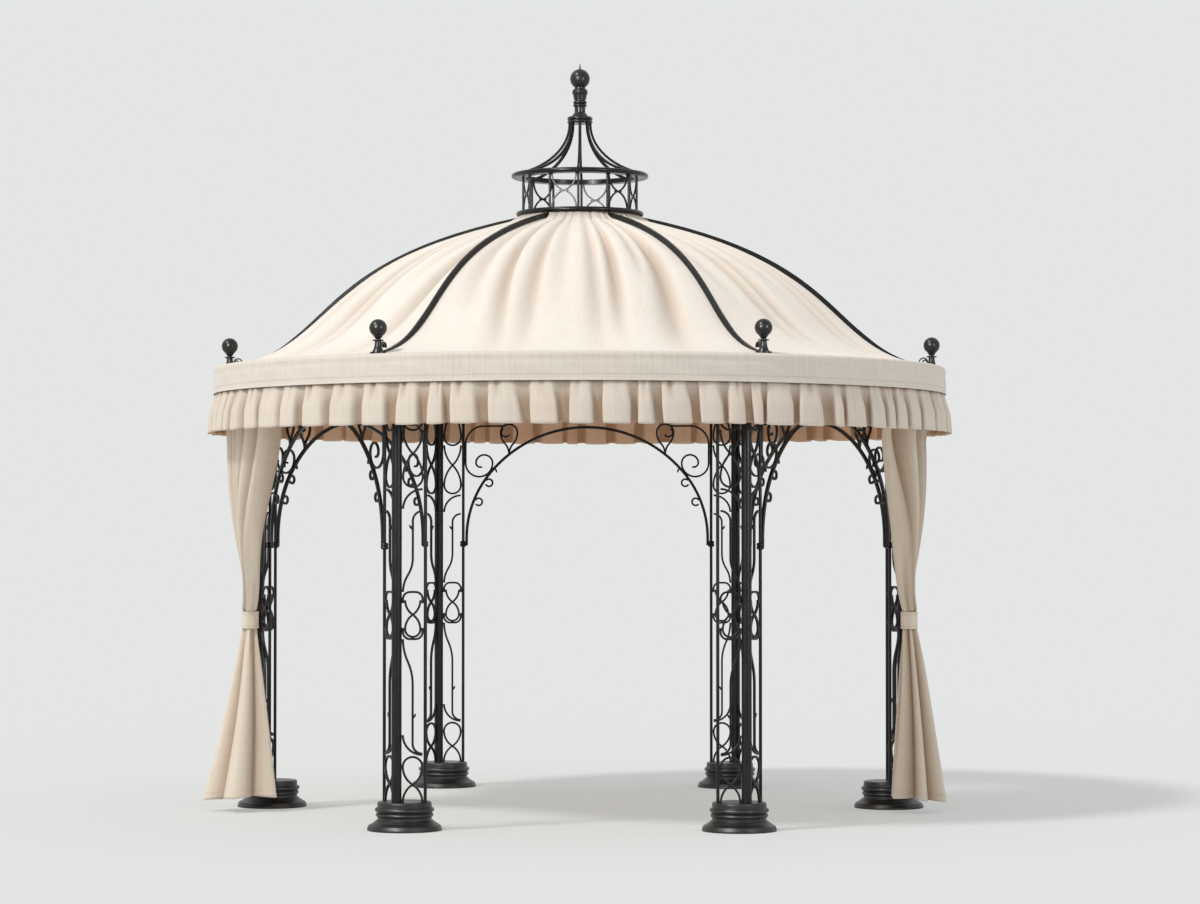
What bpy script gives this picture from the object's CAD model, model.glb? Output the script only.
import math
import random
import bpy
import bmesh
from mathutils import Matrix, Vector


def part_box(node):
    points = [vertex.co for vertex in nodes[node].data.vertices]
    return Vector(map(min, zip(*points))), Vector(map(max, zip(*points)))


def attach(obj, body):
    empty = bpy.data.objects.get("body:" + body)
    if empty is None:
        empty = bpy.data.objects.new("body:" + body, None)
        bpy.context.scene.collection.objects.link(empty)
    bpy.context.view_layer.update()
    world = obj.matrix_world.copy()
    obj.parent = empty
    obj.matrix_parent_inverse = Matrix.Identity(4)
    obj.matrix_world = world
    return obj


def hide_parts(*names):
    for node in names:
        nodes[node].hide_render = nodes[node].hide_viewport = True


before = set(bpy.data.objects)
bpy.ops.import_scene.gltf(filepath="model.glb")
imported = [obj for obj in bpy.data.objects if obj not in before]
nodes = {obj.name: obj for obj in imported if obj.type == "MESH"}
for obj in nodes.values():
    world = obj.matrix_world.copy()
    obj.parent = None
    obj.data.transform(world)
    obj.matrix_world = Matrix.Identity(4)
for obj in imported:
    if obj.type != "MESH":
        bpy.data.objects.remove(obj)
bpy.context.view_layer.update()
print("frame loaded:", len(nodes), "nodes")


# camera at eye height, a little to the right of the middle
view = {"turn": 1.6, "distance": 18.6, "height": 1.516, "lens": 101.6, "sensor": 36, "farthest": 400,
        "pan": 0.34, "tilt": 1.32}


def placeCamera():
    turn = math.radians(view["turn"])
    data = bpy.data.cameras.new("viewCamera")
    data.lens = view["lens"]
    data.sensor_width = view["sensor"]
    data.clip_end = view["farthest"]
    camera = bpy.data.objects.new("viewCamera", data)
    camera.location = (view["distance"] * math.sin(turn), -view["distance"] * math.cos(turn), view["height"])
    camera.rotation_euler = (math.radians(90 + view["tilt"]), 0, math.radians(view["turn"] - view["pan"]))
    bpy.context.scene.collection.objects.link(camera)
    bpy.context.scene.camera = camera


placeCamera()
print("camera placed")


# short ways to add shader nodes

def newMaterial(name):
    material = bpy.data.materials.new(name)
    material.use_nodes = True
    tree = material.node_tree
    return material, tree, tree.nodes["Principled BSDF"]


def addNode(tree, kind, settings=None, inputs=None):
    node = tree.nodes.new(kind)
    for key, value in (settings or {}).items():
        setattr(node, key, value)
    for key, value in (inputs or {}).items():
        if isinstance(value, bpy.types.NodeSocket):
            tree.links.new(value, node.inputs[key])
        else:
            node.inputs[key].default_value = value
    return node


def mathOf(tree, operation, *values):
    return addNode(tree, "ShaderNodeMath", {"operation": operation}, dict(enumerate(values))).outputs[0]


def noiseOf(tree, vector, stretch, scale, detail=3.0, rough=0.55):
    mapping = addNode(tree, "ShaderNodeMapping", inputs={"Vector": vector, "Scale": stretch})
    return addNode(tree, "ShaderNodeTexNoise", inputs={
        "Vector": mapping.outputs[0], "Scale": scale, "Detail": detail, "Roughness": rough}).outputs["Fac"]


def rangeOf(tree, value, fromLow, fromHigh, toLow, toHigh):
    mapped = addNode(tree, "ShaderNodeMapRange", inputs={
        "Value": value, "From Min": fromLow, "From Max": fromHigh, "To Min": toLow, "To Max": toHigh})
    return mapped.outputs[0]


def rampOf(tree, value, stops):
    ramp = addNode(tree, "ShaderNodeValToRGB", inputs={"Fac": value})
    elements = ramp.color_ramp.elements
    while len(elements) < len(stops):
        elements.new(0.5)
    for element, (place, colour) in zip(elements, stops):
        element.position = place
        element.color = (*colour, 1)
    return ramp.outputs["Color"]


oneNoise = (0.3, 0.7)  # where most of a noise lies
twoNoises = (0.7, 1.3)  # the same for the sum of two

# linen: plain weave with slubs, on the cloth's own UV map in metres
linen = {
    "light": (0.88, 0.825, 0.75), "middle": (0.835, 0.768, 0.68), "dark": (0.72, 0.635, 0.535),
    "crease": (0.50, 0.395, 0.305), "stops": (0.1, 0.5, 0.9),
    "threads": 620, "threadStretch": 0.03, "threadRange": (0.75, 1.25), "threadShare": 0.12,
    "slubs": 95, "slubStretch": 0.045, "slubHeight": 1.5, "clouds": 2.2, "cloudShare": 0.05,
    "bump": 0.0007, "bumpStrength": 0.6, "rough": (0.82, 0.96),
    "sheen": 0.1, "sheenRough": 0.45, "shine": 0.2}


def linenMaterial(name, tint, warp, weft):
    # tint is the colour's share of the plain linen, warp and weft how much their slubs show
    material, tree, shader = newMaterial(name)
    uv = addNode(tree, "ShaderNodeUVMap", {"uv_map": "cloth"}).outputs[0]
    threadWarp = noiseOf(tree, uv, (1, linen["threadStretch"], 1), linen["threads"], detail=1.0)
    threadWeft = noiseOf(tree, uv, (linen["threadStretch"], 1, 1), linen["threads"], detail=1.0)
    slubWarp = noiseOf(tree, uv, (1, linen["slubStretch"], 1), linen["slubs"])
    slubWeft = noiseOf(tree, uv, (linen["slubStretch"], 1, 1), linen["slubs"])
    clouds = noiseOf(tree, uv, (1, 1, 1), linen["clouds"], detail=4.0)
    threads = mathOf(tree, "ADD", threadWarp, threadWeft)
    warpShare = rangeOf(tree, slubWarp, *oneNoise, -warp, warp)
    weftShare = rangeOf(tree, slubWeft, *oneNoise, -weft, weft)
    slubs = mathOf(tree, "ADD", warpShare, weftShare)
    threadShare = rangeOf(tree, threads, *linen["threadRange"], -linen["threadShare"], linen["threadShare"])
    cloudShare = rangeOf(tree, clouds, *oneNoise, -linen["cloudShare"], linen["cloudShare"])
    total = mathOf(tree, "ADD", threadShare, slubs)
    total = mathOf(tree, "ADD", total, cloudShare)
    shade = mathOf(tree, "ADD", total, 0.5)
    colours = [[a * b for a, b in zip(linen[key], tint)] for key in ("dark", "middle", "light")]
    colour = rampOf(tree, shade, list(zip(linen["stops"], colours)))
    crease = addNode(tree, "ShaderNodeAttribute", {"attribute_name": "crease"}).outputs["Fac"]
    colour = addNode(tree, "ShaderNodeMixRGB", {"blend_type": "MULTIPLY"}, {
        "Fac": crease, "Color1": colour, "Color2": (*linen["crease"], 1)}).outputs[0]
    tree.links.new(colour, shader.inputs["Base Color"])
    roughness = rangeOf(tree, threads, *twoNoises, *linen["rough"])
    tree.links.new(roughness, shader.inputs["Roughness"])
    height = mathOf(tree, "MULTIPLY_ADD", slubs, linen["slubHeight"], threads)
    bump = addNode(tree, "ShaderNodeBump", inputs={
        "Height": height, "Strength": linen["bumpStrength"], "Distance": linen["bump"]})
    tree.links.new(bump.outputs[0], shader.inputs["Normal"])
    shader.inputs["Sheen Weight"].default_value = linen["sheen"]
    shader.inputs["Sheen Roughness"].default_value = linen["sheenRough"]
    shader.inputs["Specular IOR Level"].default_value = linen["shine"]
    return material


# powder coat: near black, in faint patches and streaks, with a fine orange peel and softened edges
coat = {"patches": 9.0, "streaks": 90.0, "streakStretch": 0.06, "stops": (0.15, 0.9), "peel": 900,
        "peelStrength": 0.4, "edge": 0.0035, "edgeSamples": 4}


def coatMaterial(name, dark, light, rough, bump, shine):
    material, tree, shader = newMaterial(name)
    place = addNode(tree, "ShaderNodeTexCoord").outputs["Object"]
    patches = noiseOf(tree, place, (1, 1, 1), coat["patches"], detail=5.0)
    grain = noiseOf(tree, place, (1, 1, 1), coat["peel"], detail=2.0)
    streaks = noiseOf(tree, place, (1, 1, coat["streakStretch"]), coat["streaks"])
    mixed = mathOf(tree, "ADD", patches, streaks)
    shade = rangeOf(tree, mixed, *twoNoises, 0.0, 1.0)
    colour = rampOf(tree, shade, list(zip(coat["stops"], (dark, light))))
    tree.links.new(colour, shader.inputs["Base Color"])
    tree.links.new(rangeOf(tree, mixed, *twoNoises, *rough), shader.inputs["Roughness"])
    rounded = addNode(tree, "ShaderNodeBevel", {"samples": coat["edgeSamples"]}, {"Radius": coat["edge"]})
    peel = addNode(tree, "ShaderNodeBump", inputs={
        "Height": grain, "Strength": coat["peelStrength"], "Distance": bump, "Normal": rounded.outputs[0]})
    tree.links.new(peel.outputs[0], shader.inputs["Normal"])
    shader.inputs["Specular IOR Level"].default_value = shine
    return material


roofLinen = linenMaterial("roofLinen", tint=(1.15, 1.15, 1.165), warp=0.08, weft=0.05)
bandLinen = linenMaterial("bandLinen", tint=(0.98, 0.965, 0.95), warp=0.17, weft=0.05)
ruffleLinen = linenMaterial("ruffleLinen", tint=(0.95, 0.91, 0.875), warp=0.17, weft=0.05)
liningLinen = linenMaterial("liningLinen", tint=(0.97, 0.73, 0.57), warp=0.16, weft=0.06)
curtainLinen = linenMaterial("curtainLinen", tint=(0.99, 0.94, 0.885), warp=0.13, weft=0.10)
blackIron = coatMaterial("blackIron", dark=(0.0035, 0.0035, 0.0038), light=(0.010, 0.010, 0.0102),
                         rough=(0.22, 0.34), bump=0.0001, shine=0.30)
castIron = coatMaterial("castIron", dark=(0.006, 0.006, 0.0065), light=(0.017, 0.017, 0.0175),
                        rough=(0.30, 0.44), bump=0.0003, shine=0.5)
finialIron = coatMaterial("finialIron", dark=(0.007, 0.007, 0.007), light=(0.016, 0.0158, 0.0155),
                          rough=(0.24, 0.34), bump=0.0001, shine=0.4)


def materialFor(name):
    if name.startswith("base"):
        return castIron
    if "finial" in name:
        return finialIron
    return blackIron


for name, node in nodes.items():
    node.data.materials.clear()
    node.data.materials.append(materialFor(name))
print("metal finished")


# thickness of the cloth, and how near two of its points count as one where it closes
cloth = {"thick": 0.0018, "weld": 0.00002}


def clothSheet(name, across, down, place, flat, materials, closed=True, thick=cloth["thick"], flip=False,
               uvOf=None):
    # a flat grid takes its UV in metres from the cut, and then each of its points is put in place
    bm = bmesh.new()
    bmesh.ops.create_grid(bm, x_segments=across, y_segments=down, size=0.5)
    uvLayer = bm.loops.layers.uv.new("cloth")
    creaseLayer = bm.verts.layers.float.new("crease")
    for face in bm.faces:
        middle = face.calc_center_median().x + 0.5
        for loop in face.loops:
            u, w = loop.vert.co.x + 0.5, loop.vert.co.y + 0.5
            loop[uvLayer].uv = uvOf(u, w, middle) if uvOf else (u * flat[0], w * flat[1])
    for vert in bm.verts:
        point, crease = place(vert.co.x + 0.5, vert.co.y + 0.5)
        vert.co = point
        vert[creaseLayer] = min(1.0, max(0.0, crease))
    if closed:
        bmesh.ops.remove_doubles(bm, verts=bm.verts, dist=cloth["weld"])
    if flip:
        bmesh.ops.reverse_faces(bm, faces=bm.faces)
    for face in bm.faces:
        face.smooth = True
    mesh = bpy.data.meshes.new(name)
    bm.to_mesh(mesh)
    bm.free()
    piece = bpy.data.objects.new(name, mesh)
    bpy.context.scene.collection.objects.link(piece)
    for material in materials:
        mesh.materials.append(material)
    wall = piece.modifiers.new("wall", "SOLIDIFY")
    wall.thickness = thick
    wall.offset = 0
    wall.material_offset = len(materials) - 1  # a second material lines the inside
    return piece


def polar(radius, angle, height):
    return Vector((radius * math.cos(angle), radius * math.sin(angle), height))


def smoothStep(low, high, value):
    s = min(1.0, max(0.0, (value - low) / (high - low)))
    return s * s * (3 - 2 * s)


def lineAt(place, width, value):
    # 1 on a narrow line at place, and nothing a few widths off it
    return math.exp(-((value - place) / width) ** 2)


class Folds:
    # folds of uneven widths along a closed or open line
    lastPlace = 0.9999999  # the end of the line belongs to the last fold

    def __init__(self, count, seed, uneven=0.0, widths=None):
        self.rng = random.Random(seed)
        self.count = count
        widths = widths or [1 + uneven * self.rng.uniform(-1, 1) for _ in range(count)]
        total = sum(widths)
        self.starts = [sum(widths[:i]) / total for i in range(count)] + [1.0]

    def values(self, low, high):
        return [self.rng.uniform(low, high) for _ in range(self.count)]

    def at(self, place):
        # number of the fold and the share of the way across it
        place = min(self.lastPlace, max(0.0, place))
        index = 0
        while self.starts[index + 1] <= place:
            index += 1
        return index, (place - self.starts[index]) / (self.starts[index + 1] - self.starts[index])

    def between(self, values, index, share):
        return values[index] + (values[(index + 1) % self.count] - values[index]) * share


# the roof line runs from the foot of the cupola to the eave, first round and then hollow
roof = {
    "top": (0.325, 3.225), "end": (2.0, 2.4066),  # radius and height of the line's two ends
    "round": (0.74, 0.31), "hollow": (0.41, 0.08),  # its handles, in shares of the run and the drop
    "start": 0.004, "reach": 0.984, "under": 0.0148,  # the cloth's part of the line, and how far under it
    "bays": 6, "folds": 8, "stray": 0.22, "drift": 0.03, "breadth": (0.8, 1.25),  # valleys in each bay
    "deep": (0.55, 1.0), "long": (0.92, 1.12), "faint": (0.3, 0.7), "short": (0.5, 0.75),
    "depth": (0.018, 0.052), "deepens": 0.14, "deepest": 1.15, "width": (0.027, 0.012), "closes": 0.30,
    "span": 3, "fade": 0.35, "flanks": (0.75, 0.8), "flankTurn": 3, "pinned": 0.22,
    "billow": 0.16, "billowEnds": (0.5, 0.95), "billowBay": (0.25, 0.8),
    "pucker": 0.0035, "puckers": 96, "puckerEnd": 0.10, "puckerSways": 11,
    "swell": 0.003, "swells": 19, "swellRise": (0.4, 0.8), "swellFall": (0.85, 1),
    "sag": 0.012, "tuck": 0.005, "tuckLength": 0.012,
    "neck": 0.024, "neckBay": (0.09, 0.20), "neckEdge": (0.004, 0.011), "neckGap": 0.0012,
    "shade": 0.68, "neckShade": 0.35, "neckShadeEnd": 0.03,
    "slope": 1.98, "goreApart": 3, "seed": 6, "across": 780, "down": 58}


def roofLine():
    (topR, topZ), (endR, endZ) = roof["top"], roof["end"]
    run, drop = endR - topR, topZ - endZ
    (roundRun, roundDrop), (hollowRun, hollowDrop) = roof["round"], roof["hollow"]
    return [Vector(roof["top"]), Vector((topR + roundRun * run, topZ - roundDrop * drop)),
            Vector((endR - hollowRun * run, endZ + hollowDrop * drop)), Vector(roof["end"])]


def onRoof(t, lift):
    a, b, c, d = roofLine()
    place = (1 - t) ** 3 * a + 3 * (1 - t) ** 2 * t * b + 3 * (1 - t) * t * t * c + t ** 3 * d
    ahead = (1 - t) ** 2 * (b - a) + 2 * (1 - t) * t * (c - b) + t * t * (d - c)
    return place + lift * Vector((-ahead.y, ahead.x)).normalized()


def foldsOfBay(rng):
    # the valleys of one bay: place, depth, how far down they reach, width and drift
    count = roof["folds"]
    valleys = []
    for k in range(count):
        start = (k + 0.5 + rng.uniform(-roof["stray"], roof["stray"])) / count
        main = k % 3  # every third valley is faint and short
        depth = rng.uniform(*roof["deep"]) if main else rng.uniform(*roof["faint"])
        reach = rng.uniform(*roof["long"]) if main else rng.uniform(*roof["short"])
        width = rng.uniform(*roof["breadth"])
        valleys.append((start, depth, reach, width, rng.uniform(-roof["drift"], roof["drift"])))
    return valleys


def buildCanopy():
    rng = random.Random(roof["seed"])
    bayCount = roof["bays"]
    bays = [foldsOfBay(rng) for _ in range(bayCount)]
    phases = [rng.uniform(0, math.tau) for _ in range(6)]
    least, most = roof["depth"]
    narrow, widening = roof["width"]
    plainFlank, steepFlank = roof["flanks"]
    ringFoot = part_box("cupola_foot")[0][2]
    neckTop = ringFoot - roof["neckGap"]
    neckRise = ringFoot - onRoof(roof["start"], -roof["under"])[1]

    def downRoof(w):
        return roof["start"] + w * (roof["reach"] - roof["start"])

    def place(u, w):
        angle = u * math.tau
        t = downRoof(w)
        bay = (u * bayCount) % 1.0
        free = math.sin(math.pi * bay)  # nothing at a rib, most in the middle of a bay
        depthHere = min(most, least + roof["deepens"] * t)
        sunk = 0.0
        for start, depth, reach, width, drift in bays[int(u * bayCount) % bayCount]:
            middle = 0.5 + (start - 0.5) * (1 - roof["closes"] * t) + drift * t
            off = (bay - middle) / (width * (narrow + widening * t))
            if abs(off) < roof["span"]:
                fade = 1 - smoothStep(roof["fade"] * reach, reach, t)
                side = 1 / (1 + math.exp(-roof["flankTurn"] * off))  # one flank is steeper than the other
                sunk += depth * fade * math.exp(-off * off * (plainFlank + steepFlank * side))
        pinned = smoothStep(0.0, roof["pinned"], free)
        billow = roof["billow"] * (1 - smoothStep(*roof["billowEnds"], t))
        billow *= smoothStep(*roof["billowBay"], free)
        lift = depthHere * (billow - min(roof["deepest"], sunk) * pinned)
        gather = (1 - smoothStep(0.0, roof["puckerEnd"], t)) * roof["pucker"]
        sway = 2 * math.sin(roof["puckerSways"] * angle + phases[1])
        lift += gather * math.sin(roof["puckers"] * angle + phases[0] + sway)
        swell = roof["swell"] * smoothStep(*roof["swellRise"], t) * (1 - smoothStep(*roof["swellFall"], t))
        swell *= math.sin(roof["swells"] * angle + phases[5] + 2 * t)
        lift += swell * pinned
        lift -= roof["sag"] * free * math.sin(math.pi * min(1, t / roof["reach"]))
        lift -= roof["tuck"] * smoothStep(roof["reach"] - roof["tuckLength"], roof["reach"], t)
        radius, height = onRoof(t, lift - roof["under"])
        risen = smoothStep(*roof["neckBay"], free)  # between the ribs the neck rises to the cupola's ring
        height += neckRise * risen * (1 - smoothStep(0.0, roof["neck"], t))
        height += (neckTop - height) * risen * (1 - smoothStep(*roof["neckEdge"], t))
        height = min(neckTop, height)
        crease = roof["shade"] * min(1, sunk) * depthHere / most * pinned
        crease += roof["neckShade"] * (1 - smoothStep(0.0, roof["neckShadeEnd"], t))
        return polar(radius, angle, height), crease

    def gore(u, w, middle):
        # each gore is cut with its threads along its own middle
        bay = math.floor(middle * bayCount)
        offMiddle = (u - (bay + 0.5) / bayCount) * math.tau
        return offMiddle * onRoof(downRoof(w), 0)[0] + roof["goreApart"] * bay, w * roof["slope"]

    flat = (math.tau * roof["end"][0], roof["slope"])
    piece = clothSheet("canopy_cloth", roof["across"], roof["down"], place, flat, [roofLinen, liningLinen],
                       flip=True, uvOf=gore)
    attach(piece, "root")
    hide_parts("canopy")
    return piece


buildCanopy()
print("canopy made")


# the band goes round the eave, rolls over at the top and has a sewn lip at the foot
band = {
    "radius": 1.9985, "low": 2.2515, "high": 2.3965, "roll": 0.018, "turnIn": 0.02, "turnInRise": 0.1,
    "turnInShade": 0.03, "lip": 0.0022, "lipEnds": (0.004, 0.012),
    "seam": 0.030, "seamWidth": 0.0025, "seamDepth": 0.0012, "seamShade": 0.35,
    "hollow": 0.0025, "hollowDown": 0.022, "hollowWidth": 0.014,  # the cloth is drawn in under the roll
    "broadRipple": 0.0018, "broadRipples": 23, "fineRipple": 0.0014, "fineRipples": 41,
    "rippleEnds": (0.9, 0.15), "seed": 11, "across": 480, "down": 44}


def buildBand():
    rng = random.Random(band["seed"])
    phases = [rng.uniform(0, math.tau) for _ in range(6)]
    straight = band["high"] - band["roll"] - band["low"]
    roll = band["roll"] * math.pi / 2
    length = straight + roll + band["turnIn"]
    rippleRise, rippleFoot = band["rippleEnds"]

    def place(u, w):
        angle = u * math.tau
        along = w * length
        ripple = band["broadRipple"] * math.sin(band["broadRipples"] * angle + phases[0])
        ripple += band["fineRipple"] * math.sin(band["fineRipples"] * angle + phases[1] + 9 * w)
        ripple *= math.sin(math.pi * min(1, along / straight) * rippleRise + rippleFoot)
        seam = lineAt(band["seam"], band["seamWidth"], along)
        if along < straight:
            lip = band["lip"] * (1 - smoothStep(*band["lipEnds"], along)) - band["seamDepth"] * seam
            lip -= band["hollow"] * lineAt(straight - band["hollowDown"], band["hollowWidth"], along)
            return polar(band["radius"] + ripple + lip, angle, band["low"] + along), band["seamShade"] * seam
        if along < straight + roll:
            turn = (along - straight) / band["roll"]
            radius = band["radius"] - band["roll"] * (1 - math.cos(turn))
            return polar(radius, angle, band["high"] - band["roll"] * (1 - math.sin(turn))), 0.0
        inward = along - straight - roll
        radius = band["radius"] - band["roll"] - inward
        return polar(radius, angle, band["high"] + band["turnInRise"] * inward), inward / band["turnInShade"]

    flat = (math.tau * band["radius"], length)
    piece = clothSheet("eave_band", band["across"], band["down"], place, flat, [bandLinen, liningLinen])
    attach(piece, "root")
    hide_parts("band")
    return piece


buildBand()
print("band made")


# the ruffle is gathered under the band: broad crests with one steep and one gentle edge stand out
# before narrower valleys, and the cloth turns back a little under each edge
ruffle = {
    "folds": 80, "uneven": 0.42, "fullness": 1.3, "perFold": 25, "down": 16,
    "radius": 2.0, "topRadius": 1.983, "flare": 0.017, "flareCurve": 0.8, "top": 2.254, "foot": 2.0417,
    "heading": 0.01, "crest": (0.56, 0.74), "crestGrows": (-0.05, 0.08), "steep": (0.05, 0.10),
    "gentle": (0.11, 0.20), "turned": 0.15, "opened": (0.34, 0.66), "openEnd": 0.6,
    "depth": 0.040, "crestShare": 0.62, "valleyShare": 0.38, "crestRound": 0.011,
    "crestDepth": (0.65, 1.0), "valleyDepth": (0.5, 1.0),
    "dimple": 0.013, "dimplePlace": (0.3, 0.7), "dimpleDepth": (0.1, 1.0), "dimpleWidth": 0.07,
    "dimpleEnds": (0.05, 0.55), "lean": (-0.008, 0.008), "drop": (-1.0, 1.0),
    "wave": 0.0035, "waves": 17, "hemDrop": 0.008, "hemFull": 0.6, "hemRound": 0.4, "hemUneven": 0.35,
    "valleyShade": 0.88, "dimpleShade": 0.6, "topShade": 0.6, "topShadeEnd": 0.12,
    "stitch": 0.93, "stitchWidth": 0.012, "stitchShade": 0.08, "foldSeed": 3, "seed": 21}


def buildRuffle():
    count = ruffle["folds"]
    folds = Folds(count, ruffle["foldSeed"], ruffle["uneven"])
    crestEnds = folds.values(*ruffle["crest"])
    crestGrows = folds.values(*ruffle["crestGrows"])
    outerEdge = folds.values(*ruffle["steep"])
    innerEdge = folds.values(*ruffle["gentle"])
    crestDepth = folds.values(*ruffle["crestDepth"])
    valleyDepth = folds.values(*ruffle["valleyDepth"])
    dimplePlace = folds.values(*ruffle["dimplePlace"])
    dimpleDepth = folds.values(*ruffle["dimpleDepth"])
    lean = folds.values(*ruffle["lean"])
    drop = folds.values(*ruffle["drop"])
    topOpen, moreOpen = ruffle["opened"]
    rng = random.Random(ruffle["seed"])
    phases = [rng.uniform(0, math.tau) for _ in range(6)]

    def place(u, w):
        fall = 1 - w
        index = min(count - 1, int(u * count + 1e-6))  # a point on the start of a fold belongs to it
        share = min(1.0, max(0.0, u * count - index))
        ends = crestEnds[index] + crestGrows[index] * (fall - 0.5)
        first, last, half = outerEdge[index], outerEdge[(index + 1) % count], innerEdge[index]
        rise = smoothStep(-first, first, share) + smoothStep(1 - last, 1 + last, share)
        sink = smoothStep(ends - half, ends + half, share)
        full = rise - sink
        opened = topOpen + moreOpen * smoothStep(0.0, ruffle["openEnd"], fall)
        turned = ruffle["turned"] * opened
        along = (share - turned * (rise - 0.5 + sink)) / (1 - 2 * turned)
        width = folds.starts[index + 1] - folds.starts[index]
        side = folds.between(lean, index, share) * fall
        angle = (folds.starts[index] + width * along) * math.tau + side
        crest = ruffle["crestShare"] * folds.between(crestDepth, index, share)
        floor = ruffle["valleyShare"] * folds.between(valleyDepth, index, share)
        onCrest = math.sin(math.pi * min(1, share / ends))
        radius = ruffle["topRadius"] + ruffle["flare"] * fall ** ruffle["flareCurve"]
        radius += ruffle["depth"] * opened * (crest * full - floor * (1 - full))
        radius += ruffle["crestRound"] * opened * full * onCrest
        dimple = lineAt(dimplePlace[index] * ends, ruffle["dimpleWidth"], share) * full * dimpleDepth[index]
        dimple *= 1 - smoothStep(*ruffle["dimpleEnds"], fall)
        radius -= ruffle["dimple"] * dimple
        wave = math.sin(ruffle["waves"] * folds.starts[index] * math.tau + phases[2])
        radius += ruffle["wave"] * fall * wave
        height = ruffle["top"] - (ruffle["top"] - ruffle["foot"]) * fall
        lower = full * (ruffle["hemFull"] + ruffle["hemRound"] * onCrest) - ruffle["hemFull"]
        lower += ruffle["hemUneven"] * folds.between(drop, index, share)
        height -= fall * ruffle["hemDrop"] * lower
        crease = ruffle["valleyShade"] * (1 - full) * opened + ruffle["dimpleShade"] * dimple
        crease += ruffle["topShade"] * (1 - smoothStep(0.0, ruffle["topShadeEnd"], fall))
        crease += ruffle["stitchShade"] * lineAt(ruffle["stitch"], ruffle["stitchWidth"], fall)
        return polar(radius, angle, height), crease

    around = math.tau * ruffle["radius"] * ruffle["fullness"]
    flat = (around, ruffle["top"] - ruffle["foot"] + ruffle["heading"])
    piece = clothSheet("eave_ruffle", count * ruffle["perFold"], ruffle["down"], place, flat,
                       [ruffleLinen, liningLinen])
    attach(piece, "root")
    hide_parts("ruffle")
    return piece


buildRuffle()
print("ruffle made")


# each curtain hangs from the ring, is drawn in at its tie and opens again to the hem
curtain = {
    "rail": 1.925, "top": 2.36, "start": 5.0, "width": 1.04, "hem": 0.066, "across": 300, "down": 130,
    "tie": (1.79, -0.19, 1.028), "tieHalf": 0.046, "waist": 0.041, "loose": 4.0, "lean": 0.026,
    "aboveTie": (60, 72, 0.83, 0.24, 1085), "belowTie": (165, 310, 0.5, 10, 400),
    "valleyCurve": 1.7, "crestCurve": 0.8, "flankCurve": 0.55, "waistPull": 0.45, "hemPull": 0.6,
    "railDepth": (0.9, 0.6), "railBelly": 1.15, "drawInEnd": 0.3,
    "swept": (0.4, 0.95), "outerCurve": 2.4, "innerDraw": (0.10, 0.93), "backCurve": 1.9,
    "pinches": 14, "pinchEnds": (0.70, 1.0), "pinch": 0.008, "ripples": 7, "ripple": 0.004, "wander": 0.008,
    "valleyShade": 1.05, "upperFade": 0.2, "pinchShade": 0.45, "rippleShade": 0.12, "tieShade": (0.4, 0.6),
    "openCurve": 1.03, "lowerWander": 0.012, "lowerPinch": 0.0035, "lowerPinchEnd": 0.22,
    "hemWave": 0.012, "hemUneven": 0.012, "lowerFade": 0.15, "lowerCurve": 1.5,
    "stitch": 0.965, "stitchWidth": 0.004, "stitchShade": 0.15,
    "valleyDepth": (0.7, 1.0), "crestDepth": (0.75, 1.0), "seed": 31}
leftDrape = {"seed": 14, "high": (1.0, 0.8, 0.95, 1.0, 1.4, 0.95), "low": (1.0, 0.8, 0.95, 1.0, 1.4, 0.95),
             "cut": 1.0, "spread": 29.5, "depth": 0.042, "drawIn": 0.045, "shade": 0.0, "creased": 0.72,
             "hemPlace": (1.818, -0.33), "hemHalf": (0.212, 0.135), "opening": 1.0}
rightDrape = {"seed": 8, "high": (0.6, 0.95, 1.4, 1.15), "low": (0.13, 0.15, 0.18, 0.205, 0.12, 0.215),
              "cut": 0.90, "spread": 26.6, "depth": 0.054, "drawIn": 0.092, "shade": 1.0, "creased": 1.1,
              "hemPlace": (1.824, -0.33), "hemHalf": (0.164, 0.135), "opening": 0.76}


def foldsOfDrape(widths, seed):
    folds = Folds(len(widths), seed, widths=widths)
    return folds, folds.values(*curtain["valleyDepth"]), folds.values(*curtain["crestDepth"])


def turnOf(u, start, slow, bend, bendTurn, fast):
    # degrees round the bunch: a slow turn as far as the bend and a fast one after it
    return start - slow * u if u < bend else bendTurn - fast * (u - bend)


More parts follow.
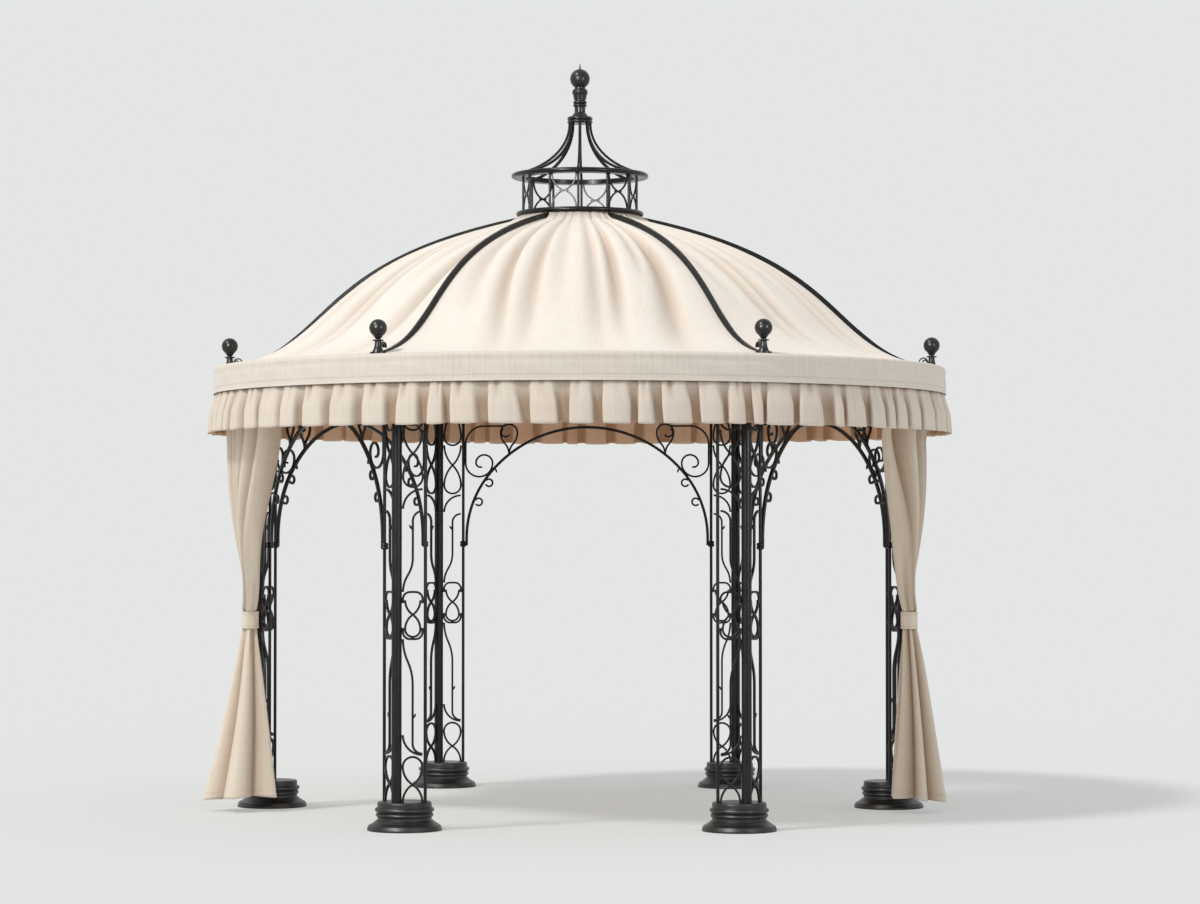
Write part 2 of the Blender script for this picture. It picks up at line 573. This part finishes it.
def buildCurtain(name, side, drape):
    high = foldsOfDrape(drape["high"], drape["seed"])
    low = foldsOfDrape(drape["low"], drape["seed"])
    rng = random.Random(curtain["seed"] + side)
    phases = [rng.uniform(0, math.tau) for _ in range(8)]
    tieX, tieY, tieZ = curtain["tie"]
    hemX, hemY = drape["hemPlace"]
    hemHalfX, hemHalfY = drape["hemHalf"]
    upper = tieZ + curtain["tieHalf"]
    lower = tieZ - curtain["tieHalf"]
    leastDepth, moreDepth = curtain["railDepth"]
    tieShade, tieValley = curtain["tieShade"]

    def fold(line, u):
        # 1 on a crest, down to -1 in a valley; the valleys are narrower
        folds, valleyDepth, crestDepth = line
        index, share = folds.at(u)
        valley = abs(math.cos(math.pi * share)) ** curtain["valleyCurve"]
        full = crestDepth[index] * math.sin(math.pi * share) ** curtain["crestCurve"]
        return full - folds.between(valleyDepth, index, share) * valley, valley

    def bunch(u, middleX, middleY, halfX, halfY, pull, shape, below):
        # above the tie the inner fold sweeps across the front, below it the inner half does
        above = turnOf(u, *curtain["aboveTie"])
        under = turnOf(u, *curtain["belowTie"])
        turn = math.radians(above + (under - above) * below)
        out = 1 - pull * (0.5 - 0.5 * shape)
        return Vector((middleX + halfX * out * math.cos(turn), middleY + halfY * out * math.sin(turn), 0))

    def place(u, w):
        height = curtain["top"] - (1 - w) * (curtain["top"] - curtain["hem"])
        shape, valley = fold(high, drape["cut"] * u)
        lowShape, lowValley = fold(low, u)
        small = math.sin(math.tau * curtain["pinches"] * u + phases[3])
        below = smoothStep(0, 1, (upper - height) / (upper - lower))
        shape += (lowShape - shape) * below
        valley += (lowValley - valley) * below
        flank = (0.5 - 0.5 * shape) ** curtain["flankCurve"]
        valley += (flank - valley) * drape["shade"] * (1 - 0.5 * below)
        s = max(0, (curtain["top"] - height) / (curtain["top"] - upper))
        around = curtain["waist"] * (1 + curtain["loose"] * max(0, 1 - s))
        middleX = tieX - curtain["lean"] * math.sin(math.pi * min(1, s) ** 4)
        waist = bunch(u, middleX, tieY, around, around, curtain["waistPull"], shape, below)
        outward = (waist - Vector((middleX, tieY, 0))).normalized()
        pinch = small * smoothStep(*curtain["pinchEnds"], s)
        if height >= upper:
            angle = -math.radians(curtain["start"] + u * drape["spread"])
            belly = math.sin(math.pi * min(1, curtain["railBelly"] * s))
            depth = drape["depth"] * (leastDepth + moreDepth * belly)
            drawnIn = drape["drawIn"] * smoothStep(0, curtain["drawInEnd"], s)
            rail = polar(curtain["rail"] - drawnIn + depth * shape, angle, 0)
            swept = smoothStep(*curtain["swept"], u)
            drawn = (1 - swept) * s ** curtain["outerCurve"] + swept * smoothStep(*curtain["innerDraw"], s)
            back = s ** curtain["backCurve"]
            point = Vector((rail.x + (waist.x - rail.x) * drawn, rail.y + (waist.y - rail.y) * back, 0))
            point.x += curtain["wander"] * math.sin(math.pi * s) * math.sin(3 * u + phases[0])
            ripple = math.sin(math.tau * curtain["ripples"] * u + phases[2] + 3 * s)
            ripple *= math.sin(math.pi * min(1, s))
            point += (curtain["pinch"] * pinch + curtain["ripple"] * ripple) * outward
            crease = (curtain["valleyShade"] - curtain["upperFade"] * s) * valley
            crease += curtain["pinchShade"] * max(0, -pinch)
            crease += curtain["rippleShade"] * max(0, -ripple)
        elif height > lower:
            point = waist
            crease = tieShade + tieValley * valley
        else:
            s = (lower - height) / (lower - curtain["hem"])
            hem = bunch(u, hemX, hemY, hemHalfX, hemHalfY, curtain["hemPull"], shape, 1)
            opening = curtain["openCurve"] + (drape["opening"] - 1) * smoothStep(0.0, 1.0, outward.x)
            point = waist.lerp(hem, s ** opening)
            point.x += curtain["lowerWander"] * math.sin(math.pi * s) * math.sin(5 * u + phases[4])
            pinched = 1 - smoothStep(0.0, curtain["lowerPinchEnd"], s)
            point += curtain["lowerPinch"] * small * pinched * outward
            raised = curtain["hemWave"] * s * math.sin(7 * u + phases[1])
            raised += curtain["hemUneven"] * s * (0.5 - 0.5 * shape)
            height += raised
            crease = (curtain["valleyShade"] - curtain["lowerFade"] * s) * valley ** curtain["lowerCurve"]
            crease += curtain["stitchShade"] * lineAt(curtain["stitch"], curtain["stitchWidth"], s)
        return Vector((side * point.x, point.y, height)), drape["creased"] * crease

    flat = (curtain["width"], curtain["top"] - curtain["hem"])
    piece = clothSheet(f"{name}_cloth", curtain["across"], curtain["down"], place, flat, [curtainLinen],
                       closed=False, flip=side > 0)
    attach(piece, "root")
    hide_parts(name)
    return piece


buildCurtain("curtain_left", -1, leftDrape)
buildCurtain("curtain_right", 1, rightDrape)
print("curtains made")


# a sewn strip from the post round each tied curtain and back to the post
tieBand = {
    "radius": 0.0445, "height": 0.091, "thick": 0.003,
    "post": 0.154, "postHeight": 0.034, "postCircle": 1.763, "postApart": 0.004,
    "edge": 0.07, "edgeOut": 0.0016, "pucker": 0.0012, "puckers": 9, "hollow": 0.0014, "tilt": 0.003,
    "stitchRise": (0.09, 0.12), "stitchFall": (0.12, 0.15), "stitchShade": 0.6,
    "seed": 41, "across": 150, "down": 22}


def buildTieback(name, side):
    tieX, tieY, tieZ = curtain["tie"]
    toPost = Vector((tieBand["postCircle"] - tieX, -tieY)).normalized()
    across = Vector((-toPost.y, toPost.x))
    radius = tieBand["radius"]
    touch = math.acos(radius / tieBand["post"])
    straight = math.sqrt(tieBand["post"] ** 2 - radius ** 2)
    arc = (math.tau - 2 * touch) * radius
    length = 2 * straight + arc
    rng = random.Random(tieBand["seed"] + side)
    phase = rng.uniform(0, math.tau)

    def place(u, w):
        along = u * length
        inside = min(w, 1 - w)  # distance from the nearer edge, as a share of the height
        edge = 1 - smoothStep(0.0, tieBand["edge"], inside)
        stitch = smoothStep(*tieBand["stitchRise"], inside) * (1 - smoothStep(*tieBand["stitchFall"], inside))
        pucker = math.sin(tieBand["puckers"] * u * math.tau + phase)
        out = tieBand["edgeOut"] * edge + tieBand["pucker"] * pucker
        out -= tieBand["hollow"] * math.sin(math.pi * w)
        share = 1.0
        if along < straight or along > straight + arc:
            sign = 1 if along < straight else -1
            s = along / straight if along < straight else (length - along) / straight
            end = toPost * tieBand["post"] + across * tieBand["postApart"] * sign
            start = (toPost * math.cos(touch) + across * math.sin(touch) * sign) * radius
            point = end.lerp(start, s)
            share = smoothStep(0.0, 1.0, s)
        else:
            turn = touch + (along - straight) / radius
            point = (toPost * math.cos(turn) + across * math.sin(turn)) * (radius + out)
        tall = tieBand["postHeight"] + (tieBand["height"] - tieBand["postHeight"]) * share
        tilt = tieBand["tilt"] * math.cos(3 * u + 0.5)
        height = tieZ + (w - 0.5) * tall + tilt
        return Vector((side * (tieX + point.x), tieY + point.y, height)), tieBand["stitchShade"] * stitch

    flat = (length, tieBand["height"])
    piece = clothSheet(f"{name}_cloth", tieBand["across"], tieBand["down"], place, flat, [curtainLinen],
                       closed=False, thick=tieBand["thick"], flip=side < 0)
    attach(piece, "root")
    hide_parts(name)
    return piece


for name, side in (("tieback_left", -1), ("tieback_right", 1)):
    buildTieback(name, side)
print("tiebacks made")


# floor, backdrop and light: the unshaded floor is as bright as the backdrop, so no horizon shows
stage = {"colour": (0.776, 0.791, 0.783), "size": 60, "shade": 0.58}
sky = {"colour": (0.97, 0.985, 1.0), "strength": 0.61}
sun = {"azimuth": 214, "height": 52, "strength": 1.60, "colour": (1.0, 0.985, 0.95), "spread": 9}
softboxes = {"leftSoftbox": {"place": (-5.5, -11.0, 6.0), "size": (2.2, 4.5), "power": 1500},
             "rightSoftbox": {"place": (7.5, -9.0, 4.0), "size": (1.2, 4.5), "power": 350}}
softboxAim = (0, 0, 1.8)


def buildStage():
    bm = bmesh.new()
    bmesh.ops.create_grid(bm, x_segments=1, y_segments=1, size=stage["size"])
    mesh = bpy.data.meshes.new("floor")
    bm.to_mesh(mesh)
    bm.free()
    floor = bpy.data.objects.new("floor", mesh)
    bpy.context.scene.collection.objects.link(floor)
    material, tree, shader = newMaterial("paleFloor")
    fall = sun["strength"] * math.sin(math.radians(sun["height"])) / math.pi
    light = [sky["strength"] * a + fall * b for a, b in zip(sky["colour"], sun["colour"])]
    pale = [a / b for a, b in zip(stage["colour"], light)]
    diffuse = addNode(tree, "ShaderNodeBsdfDiffuse", inputs={"Color": (*pale, 1)})
    glow = addNode(tree, "ShaderNodeEmission", inputs={"Color": (*stage["colour"], 1), "Strength": 1.0})
    mixed = addNode(tree, "ShaderNodeMixShader", inputs={
        0: stage["shade"], 1: glow.outputs[0], 2: diffuse.outputs[0]})
    tree.links.new(mixed.outputs[0], tree.nodes["Material Output"].inputs["Surface"])
    mesh.materials.append(material)


def buildWorld():
    # cloth is lit by the plain sky; the eye, metal and glass see the backdrop
    world = bpy.data.worlds.new("paleWorld")
    bpy.context.scene.world = world
    world.use_nodes = True
    tree = world.node_tree
    background = tree.nodes["Background"]
    background.inputs["Color"].default_value = (*sky["colour"], 1)
    background.inputs["Strength"].default_value = sky["strength"]
    seen = addNode(tree, "ShaderNodeBackground", inputs={"Color": (*stage["colour"], 1), "Strength": 1.0})
    path = addNode(tree, "ShaderNodeLightPath").outputs
    shown = mathOf(tree, "MAXIMUM", path["Is Camera Ray"], path["Is Glossy Ray"])
    shown = mathOf(tree, "MAXIMUM", shown, path["Is Transmission Ray"])
    mixed = addNode(tree, "ShaderNodeMixShader", inputs={
        0: shown, 1: background.outputs[0], 2: seen.outputs[0]})
    tree.links.new(mixed.outputs[0], tree.nodes["World Output"].inputs["Surface"])


def addSun():
    data = bpy.data.lights.new("sunLamp", "SUN")
    data.energy = sun["strength"]
    data.angle = math.radians(sun["spread"])
    data.color = sun["colour"]
    lamp = bpy.data.objects.new("sunLamp", data)
    height = math.radians(sun["height"])
    place = polar(math.cos(height), math.radians(sun["azimuth"]), math.sin(height))
    lamp.rotation_euler = (-place).to_track_quat("-Z", "Y").to_euler()
    bpy.context.scene.collection.objects.link(lamp)


def addSoftbox(name, place, size, power):
    # it shows in the polish of the metal, and lights no matt surface
    data = bpy.data.lights.new(name, "AREA")
    data.shape = "RECTANGLE"
    data.size, data.size_y = size
    data.energy = power
    lamp = bpy.data.objects.new(name, data)
    lamp.location = place
    lamp.rotation_euler = (Vector(softboxAim) - Vector(place)).to_track_quat("-Z", "Y").to_euler()
    lamp.visible_diffuse = False
    bpy.context.scene.collection.objects.link(lamp)


buildStage()
buildWorld()
addSun()
for name, softbox in softboxes.items():
    addSoftbox(name, **softbox)
bpy.context.scene.view_settings.view_transform = "Standard"
print("stage lit")
